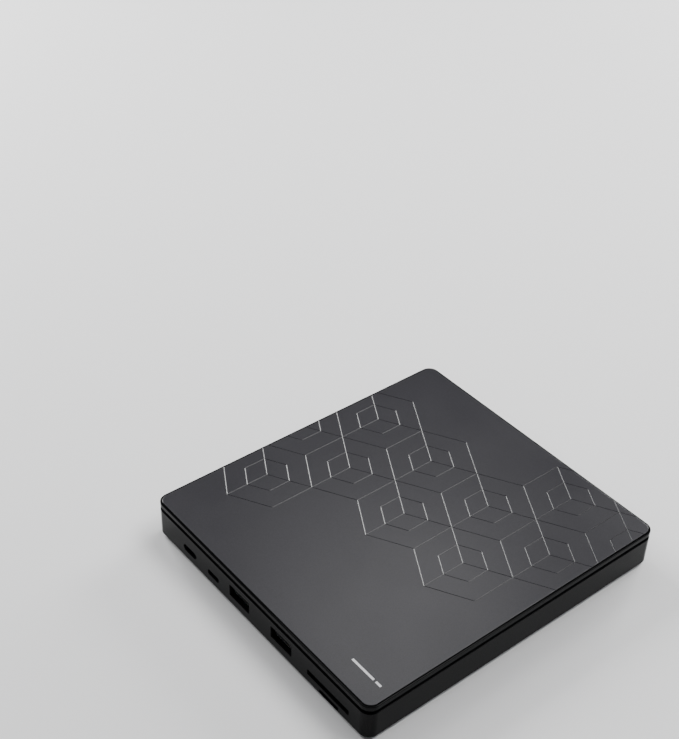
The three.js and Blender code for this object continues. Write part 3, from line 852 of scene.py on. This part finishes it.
def guide_rods():
    stations = [(14.2, 0.55), (14.35, 0.7), (64.95, 0.7), (65.1, 0.55)]
    for i, row in enumerate(ROD_ROWS):
        stand_for(smooth(bar(f"ground_rod_{i + 1}", stations, row)), f"guide_rod_{i + 1}")


def lead_screw():
    """A thread with one start, as a cam-shaped section that turns once in each pitch."""
    sides, steps = 24, 12
    root, height = 0.58, 0.22
    rings = []
    for k in range(int(LEAD_LENGTH / LEAD_PITCH * steps) + 1):
        u = LEAD_START + k * LEAD_PITCH / steps
        ring = []
        for i in range(sides):
            a = i * 2 * math.pi / sides
            crest = max(0.0, math.cos(a - k * 2 * math.pi / steps)) ** 2
            r = root + height * crest
            ring.append((u, LEAD_ROW + r * math.cos(a), ROD_Z + r * math.sin(a)))
        rings.append(ring)
    thread = in_traverse(loft("thread", rings))
    stand_for(smooth(thread, 50), "lead_screw")


def spindle_motor():
    section = [(1.5, 4.8), (9.8, 4.8), (10, 5), (10, 6.2), (9.85, 6.4), (9.4, 6.5), (6, 6.5), (5.8, 6.3)]
    section += [(4, 6.3), (3.8, 6.5), (1.5, 6.5)]
    stand_for(smooth(in_traverse(turned("stator", section, closed=True))), "spindle_motor")


def dampers():
    section = [(1, 4.8), (2, 4.8), (2.2, 5), (2.2, 5.45), (1.85, 5.65)]
    section += [(1.85, 6.05), (2.2, 6.25), (2.2, 6.7), (2, 6.9), (1, 6.9)]
    for i, (u, v) in enumerate(DAMPERS):
        ring = turned(f"waisted_damper_{i + 1}", section, u, v, 40, closed=True)
        stand_for(smooth(in_traverse(ring)), f"damper_{i + 1}")


def traverse_cover():
    """A thin film that closes the window under the pickup."""
    rings = [deck_ring(38.5, 1.5, 47, 22, 1.5, z) for z in FILM]
    film = in_traverse(loft("traverse_cover", rings))
    fit_out(smooth(film), "tray", "black_plastic")


def objective_lens():
    angles = [i * math.pi / 16 for i in range(8)]
    dome = [(LENS_RADIUS * math.cos(a), 8.28 + 0.44 * math.sin(a)) for a in angles]
    profile = [(0, 7.6), (LENS_RADIUS - 0.1, 7.6), (LENS_RADIUS, 7.7)] + dome + [(0, 8.72)]
    lens = turned("lens_dome", profile, LENS_U, 0)
    stand_for(smooth(in_traverse(lens)), "objective_lens")
    collar = [(1.95, 8.4), (2.3, 8.4), (2.3, 8.58), (2.2, 8.64), (2.05, 8.64), (1.95, 8.55)]
    ring = turned("lens_collar", collar, LENS_U, 0, closed=True)
    fit_out(smooth(in_traverse(ring)), "pickup", "black_plastic")


def sled_parts():
    """The lens drive's magnets, the laser can, the lead and the screws, on the pickup sled."""
    left, right = LENS_U - 2.6, LENS_U + 2.6
    steel = [block("magnet", (left, v - 0.7, 7.4), (right, v + 0.7, 8.3)) for v in (-6, 6)]
    steel.append(block("laser_can", (LENS_U - 4.9, 7.8, 7.5), (LENS_U - 0.6, 11.4, 8.2)))
    fit_out(smooth(in_traverse(joined("pickup_steel", steel))), "pickup", "sheet_steel")
    lead = block("pickup_lead", (LENS_U - 0.2, 7.9, 7.88), (LENS_U + 5.3, 11.7, 8.0))
    fit_out(smooth(in_traverse(lead)), "pickup", "flex_ribbon")
    head = [(0, 7.8), (0.7, 7.8), (0.7, 8.05), (0.5, 8.15), (0.15, 8.15), (0, 8)]
    places = ((4.6, -8.4), (-4.6, -8.4), (4.6, 5.2))
    screws = [turned("screw", head, LENS_U + u, v, 24) for u, v in places]
    screws = in_traverse(joined("pickup_screws", screws))
    fit_out(smooth(screws), "pickup", "polished_steel")


# ---------------------------------------------------------------- boards and sockets
PART_PITCH_X, PART_PITCH_Y = 2.6, 2.2
EMPTY_SHARE = 0.55
LEG_HALF, LEG_LENGTH, LEG_HEIGHT = 0.12, 0.6, 0.35
HUB_AREA = (-63, 57, 63, 76.5)
# Where the hub board has no small parts, as x and y of two corners.
HUB_KEEP_OUT = [
    (-8, 63, 0, 71),  # hub chip
    (25.5, 57.5, 34.5, 66.5),  # bridge chip
    (-26.5, 54, 9.5, 60),  # SATA socket
    (-26, 63, -11, 78),  # USB-A sockets
    (3, 63, 18, 78),
    (-63, 56, -33, 78),  # card sockets
    (24, 71, 34, 78),  # micro-USB socket
    (41, 70, 52, 78),  # USB-C socket
]
HUB_KEEP_OUT += [(x - 2, y - 2, x + 2, y + 2) for x, y in STANDOFFS]
MAIN_KEEP_OUT = [(-31, -50, -19, -38)]  # main chip


def board_parts(name, body, area, keep_out, z, side, seed):
    """Small parts with tinned ends over a board's face. side is +1 for the upper face."""
    chance = random.Random(seed)
    x0, y0, x1, y1 = area
    pads, bodies = [], []
    for i in range(int((x1 - x0) / PART_PITCH_X)):
        for j in range(int((y1 - y0) / PART_PITCH_Y)):
            x, y = x0 + 1.3 + PART_PITCH_X * i, y0 + 1.1 + PART_PITCH_Y * j
            blocked = any(a - 1.4 < x < c + 1.4 and b - 1.1 < y < d + 1.1 for a, b, c, d in keep_out)
            if blocked or chance.random() < EMPTY_SHARE:
                continue
            long = chance.choice((0.5, 0.8, 1.0))
            high = 0.25 + 0.15 * long
            near, far = sorted((z, z + side * high))
            half, deep = 0.6 * long, 0.5 * long
            bodies.append(block("part", (x - half, y - deep, near), (x + half, y + deep, far)))
            for end in (-1, 1):
                left, right = sorted((x + end * 0.58 * long, x + end * long))
                pads.append(block("pad", (left, y - 0.52 * long, near), (right, y + 0.52 * long, far)))
    fit_out(smooth(joined(f"{name}_parts", bodies)), body, "chip_black")
    fit_out(smooth(joined(f"{name}_pads", pads)), body, "polished_steel")


def chip_legs(name, node, body, z, side, count=10):
    """Legs along all four sides of a chip. side is +1 for a chip on a board's upper face."""
    low, high = box_mm(node)
    near, far = sorted((z, z + side * LEG_HEIGHT))
    legs = []
    for i in range(count):
        t = (i + 0.5) / count
        x, y = low[0] + t * (high[0] - low[0]), low[1] + t * (high[1] - low[1])
        for edge, out in ((low[0], -1), (high[0], 1)):
            a, b = sorted((edge, edge + out * LEG_LENGTH))
            legs.append(block("leg", (a, y - LEG_HALF, near), (b, y + LEG_HALF, far)))
        for edge, out in ((low[1], -1), (high[1], 1)):
            a, b = sorted((edge, edge + out * LEG_LENGTH))
            legs.append(block("leg", (x - LEG_HALF, a, near), (x + LEG_HALF, b, far)))
    fit_out(smooth(joined(name, legs)), body, "polished_steel")


def boards():
    low, high = box_mm("main_board")
    area = (low[0], low[1], high[0], high[1])
    board_parts("main", "tray", area, MAIN_KEEP_OUT, low[2], -1, 5)
    chip_legs("main_chip_legs", "main_chip", "tray", low[2], -1, 14)
    hub_top = box_mm("hub_board")[1][2]
    board_parts("hub", "case", HUB_AREA, HUB_KEEP_OUT, hub_top, 1, 9)
    for chip in ("hub_chip", "bridge_chip"):
        chip_legs(f"{chip}_legs", chip, "case", hub_top, 1, 12)


def socket_contacts():
    """Gold strips on the sockets' tongues, and the micro-USB socket's tongue."""
    strips = []
    for x in USB_A_X:
        middles = [x + d for d in (-3.5, -1, 1, 3.5)]
        strips += [block("strip", (m - 0.5, 68, 8.6), (m + 0.5, 76.2, 8.72)) for m in middles]
    for i in range(12):
        x = USB_C_X + (i - 5.5) * 0.5
        strips += [block("pin", (x - 0.13, 73.5, z), (x + 0.13, 76.6, z + 0.06)) for z in (6.71, 7.43)]
    for i in range(5):
        x = MICRO_USB_X + (i - 2) * 0.65
        strips.append(block("pin", (x - 0.18, 73, 6.72), (x + 0.18, 76.4, 6.8)))
    fit_out(smooth(joined("socket_contacts", strips)), "case", "gold_contact")
    rings = [wall_ring(MICRO_USB_X, 7.05, 4.6, 0.56, 0.1, y, 2) for y in (72.4, 76.6)]
    fit_out(smooth(loft("micro_usb_tongue", rings)), "case", "black_plastic")


def flex_cable():
    """The ribbon to the tray's board."""
    low, high = box_mm("flex_cable")
    steps, thick = 72, 0.3
    middle_z = low[2] + thick / 2
    span = [high[1] + (low[1] - high[1]) * i / steps for i in range(steps + 1)]
    across = (low[0] + high[0]) / 2
    rings = [wall_ring(across, middle_z, high[0] - low[0], thick, 0.1, y, 2) for y in span]
    run = loft("ribbon_run", rings)
    riser = block("riser", low, (high[0], low[1] + thick, high[2]))
    ribbon = smooth(joined("ribbon", [run, riser]))
    dress(ribbon, "flex_ribbon")
    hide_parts("flex_cable")
    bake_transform(ribbon)


# ---------------------------------------------------------------- the rest
EDGE = {"pickup_sled": 0.25, "drive_shield": 0.1, "slide_rail_left": 0.15, "slide_rail_right": 0.15}


def finished(node):
    """The CAD node's own shape, with clean flats and rounded edges."""
    source = frame["nodes"][node]
    mesh = source.data.copy()
    mesh.transform(source.matrix_world)
    obj = bpy.data.objects.new(f"{node}_finished", mesh)
    bpy.context.collection.objects.link(obj)
    built = bmesh.new()
    built.from_mesh(mesh)
    bmesh.ops.remove_doubles(built, verts=built.verts, dist=1e-6)
    bmesh.ops.dissolve_limit(built, angle_limit=math.radians(1), verts=built.verts, edges=built.edges)
    built.to_mesh(mesh)
    built.free()
    bevel = obj.modifiers.new("bevel", "BEVEL")
    bevel.width = EDGE.get(node, 0.12) * MM
    bevel.segments = 2
    bevel.limit_method = "ANGLE"
    bevel.angle_limit = math.radians(40)
    settle(obj)
    stand_for(smooth(obj), node)


make_camera()
make_studio()
looks = make_looks()
nodes = dict(frame["nodes"])
for node, obj in nodes.items():
    dress(obj, SLOT_OF[node])
top_panel()
bottom_case()
top_cover()
feet()
case_screws()
tray_bezel()
eject_button()
activity_lens()
disc_tray()
turntable()
guide_rods()
lead_screw()
spindle_motor()
dampers()
traverse_cover()
objective_lens()
sled_parts()
boards()
socket_contacts()
flex_cable()
for node in nodes:
    if node not in replaced:
        finished(node)
